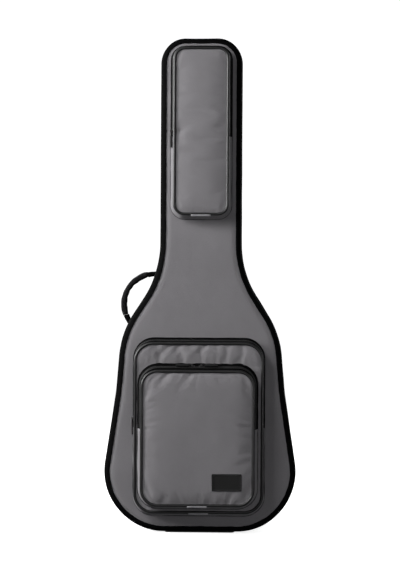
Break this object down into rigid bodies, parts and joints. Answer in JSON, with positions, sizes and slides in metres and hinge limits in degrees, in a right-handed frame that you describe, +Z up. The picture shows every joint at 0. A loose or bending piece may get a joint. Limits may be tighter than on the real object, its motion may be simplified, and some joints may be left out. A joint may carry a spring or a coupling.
{
  "type": "padded gig bag",
  "caption": "Padded gig bag for a full-size acoustic guitar: zipped clamshell with front pockets, a side handle and shoulder straps.",
  "frame": {"origin": "middle of the base, on the underside of the rear foot, at half the shell's depth", "axes": "+Z up along the neck, front towards -Y, +X to the right of someone who faces the front"},
  "size_m": [0.4262, 0.2393, 1.1068],
  "materials": {
    "grey_fabric": "woven polyester, matt",
    "black_fabric": "woven polyester, matt",
    "foam": "closed-cell foam",
    "lining": "brushed nylon",
    "zip_tape": "woven tape and coil",
    "black_metal": "satin black",
    "pull_rubber": "moulded, matt",
    "webbing": "woven webbing",
    "grip_padding": "padded fabric",
    "black_plastic": "moulded acetal",
    "foot_rubber": "moulded, matt",
    "patch": "plain moulded patch"
  },
  "bodies": {
    "back_half": {"back_cover": "grey_fabric", "back_foam": "foam", "back_lining": "lining", "rear_gusset_cover": "black_fabric", "rear_gusset_foam": "foam", "rear_zip_tape": "zip_tape", "spine_hinge": "black_fabric", "neck_cradle": "lining", "tail_block": "lining", "rear_foot": "foot_rubber", "handle_anchors": "webbing", "strap_yoke": "black_fabric", "webbing_loops": "webbing"},
    "neck_strap": {"neck_strap": "lining"},
    "lid": {"front_cover": "grey_fabric", "front_foam": "foam", "front_lining": "lining", "front_gusset_cover": "black_fabric", "front_gusset_foam": "foam", "front_zip_tape": "zip_tape", "front_foot": "foot_rubber", "name_patch": "patch", "head_pocket_gusset": "grey_fabric", "head_pocket_lower_face": "grey_fabric", "head_pocket_zip_rear": "zip_tape", "large_pocket_gusset": "grey_fabric", "large_pocket_lower_face": "grey_fabric", "large_pocket_zip_rear": "zip_tape", "small_pocket_gusset": "grey_fabric", "small_pocket_lower_face": "grey_fabric"},
    "head_flap": {"head_pocket_upper_face": "grey_fabric", "head_pocket_zip_front": "zip_tape"},
    "large_flap": {"large_pocket_upper_face": "grey_fabric", "large_pocket_zip_front": "zip_tape", "small_pocket_zip_rear": "zip_tape"},
    "small_flap": {"small_pocket_upper_face": "grey_fabric", "small_pocket_zip_front": "zip_tape"},
    "side_handle": {"handle_webbing": "webbing", "handle_grip": "grip_padding"},
    "strap_left": {"strap_pad_left": "grip_padding", "strap_webbing_left": "webbing", "strap_hook_left": "black_plastic"},
    "strap_right": {"strap_pad_right": "grip_padding", "strap_webbing_right": "webbing", "strap_hook_right": "black_plastic"},
    "adjuster_left": {"ladder_lock_left": "black_plastic"},
    "adjuster_right": {"ladder_lock_right": "black_plastic"},
    "main_left_slider": {"main_left_slider": "black_metal"},
    "main_left_pull": {"main_left_pull": "pull_rubber"},
    "main_right_slider": {"main_right_slider": "black_metal"},
    "main_right_pull": {"main_right_pull": "pull_rubber"},
    "head_slider": {"head_slider": "black_metal"},
    "head_pull": {"head_pull": "pull_rubber"},
    "large_slider": {"large_slider": "black_metal"},
    "large_pull": {"large_pull": "pull_rubber"},
    "small_left_slider": {"small_left_slider": "black_metal"},
    "small_left_pull": {"small_left_pull": "pull_rubber"},
    "small_right_slider": {"small_right_slider": "black_metal"},
    "small_right_pull": {"small_right_pull": "pull_rubber"}
  },
  "joints": [
    {"name": "lid_opens", "type": "hinge", "parent": "back_half", "child": "lid", "pos_m": [-0.21243, -0.028, 0.15353], "axis": [-0.1267, 0, -0.9919], "range_deg": [0, 110]},
    {"name": "head_pocket_opens", "type": "hinge", "parent": "lid", "child": "head_flap", "pos_m": [0, -0.1075, 0.879], "axis": [1, 0, 0], "range_deg": [0, 70]},
    {"name": "large_pocket_opens", "type": "hinge", "parent": "lid", "child": "large_flap", "pos_m": [0, -0.1375, 0.236], "axis": [1, 0, 0], "range_deg": [0, 60]},
    {"name": "small_pocket_opens", "type": "hinge", "parent": "large_flap", "child": "small_flap", "pos_m": [0, -0.1375, 0.236], "axis": [1, 0, 0], "range_deg": [0, 60]},
    {"name": "neck_strap_opens", "type": "hinge", "parent": "back_half", "child": "neck_strap", "pos_m": [-0.04, 0.0222, 0.725], "axis": [0, 0, -1], "range_deg": [0, 110]},
    {"name": "main_left_slides", "type": "slide", "parent": "back_half", "child": "main_left_slider", "axis": [-1, 0, 0], "range_m": [0, 0.02]},
    {"name": "main_right_slides", "type": "slide", "parent": "back_half", "child": "main_right_slider", "axis": [1, 0, 0], "range_m": [0, 0.02]},
    {"name": "main_left_pull_lifts", "type": "hinge", "parent": "main_left_slider", "child": "main_left_pull", "pos_m": [-0.008, -0.02605, 1.10455], "axis": [0, 1, 0], "range_deg": [0, 100]},
    {"name": "main_right_pull_lifts", "type": "hinge", "parent": "main_right_slider", "child": "main_right_pull", "pos_m": [0.008, -0.02605, 1.10455], "axis": [0, -1, 0], "range_deg": [0, 100]},
    {"name": "head_slides", "type": "slide", "parent": "lid", "child": "head_slider", "axis": [0, 0, 1], "range_m": [0, 0.14]},
    {"name": "head_pull_lifts", "type": "hinge", "parent": "head_slider", "child": "head_pull", "pos_m": [-0.06695, -0.09238, 0.89], "axis": [-0.3714, 0.9285, 0], "range_deg": [0, 160]},
    {"name": "large_slides", "type": "slide", "parent": "lid", "child": "large_slider", "axis": [0, 0, 1], "range_m": [0, 0.12]},
    {"name": "large_pull_lifts", "type": "hinge", "parent": "large_slider", "child": "large_pull", "pos_m": [-0.14915, -0.09278, 0.256], "axis": [-0.2567, 0.9665, 0], "range_deg": [0, 160]},
    {"name": "small_left_slides", "type": "slide", "parent": "large_flap", "child": "small_left_slider", "axis": [-1, 0, 0], "range_m": [0, 0.065]},
    {"name": "small_right_slides", "type": "slide", "parent": "large_flap", "child": "small_right_slider", "axis": [1, 0, 0], "range_m": [0, 0.07]},
    {"name": "small_left_pull_lifts", "type": "hinge", "parent": "small_left_slider", "child": "small_left_pull", "pos_m": [-0.017, -0.12406, 0.37592], "axis": [0, 0.8682, 0.4961], "range_deg": [0, 100]},
    {"name": "small_right_pull_lifts", "type": "hinge", "parent": "small_right_slider", "child": "small_right_pull", "pos_m": [0.0035, -0.12406, 0.37592], "axis": [0, -0.8682, -0.4961], "range_deg": [0, 100]},
    {"name": "side_handle_swings", "type": "hinge", "parent": "back_half", "child": "side_handle", "pos_m": [-0.13363, 0.02525, 0.52045], "axis": [0.477, 0, 0.8789], "range_deg": [-40, 40]},
    {"name": "strap_left_swings", "type": "hinge", "parent": "back_half", "child": "strap_left", "pos_m": [0, 0.0805, 0.6], "axis": [1, 0, 0], "range_deg": [0, 90]},
    {"name": "strap_right_swings", "type": "hinge", "parent": "back_half", "child": "strap_right", "pos_m": [0, 0.0805, 0.6], "axis": [1, 0, 0], "range_deg": [0, 90]},
    {"name": "adjuster_left_slides", "type": "slide", "parent": "strap_left", "child": "adjuster_left", "axis": [-0.1908, 0, -0.9816], "range_m": [0, 0.1]},
    {"name": "adjuster_right_slides", "type": "slide", "parent": "strap_right", "child": "adjuster_right", "axis": [0.1908, 0, -0.9816], "range_m": [0, 0.1]}
  ]
}
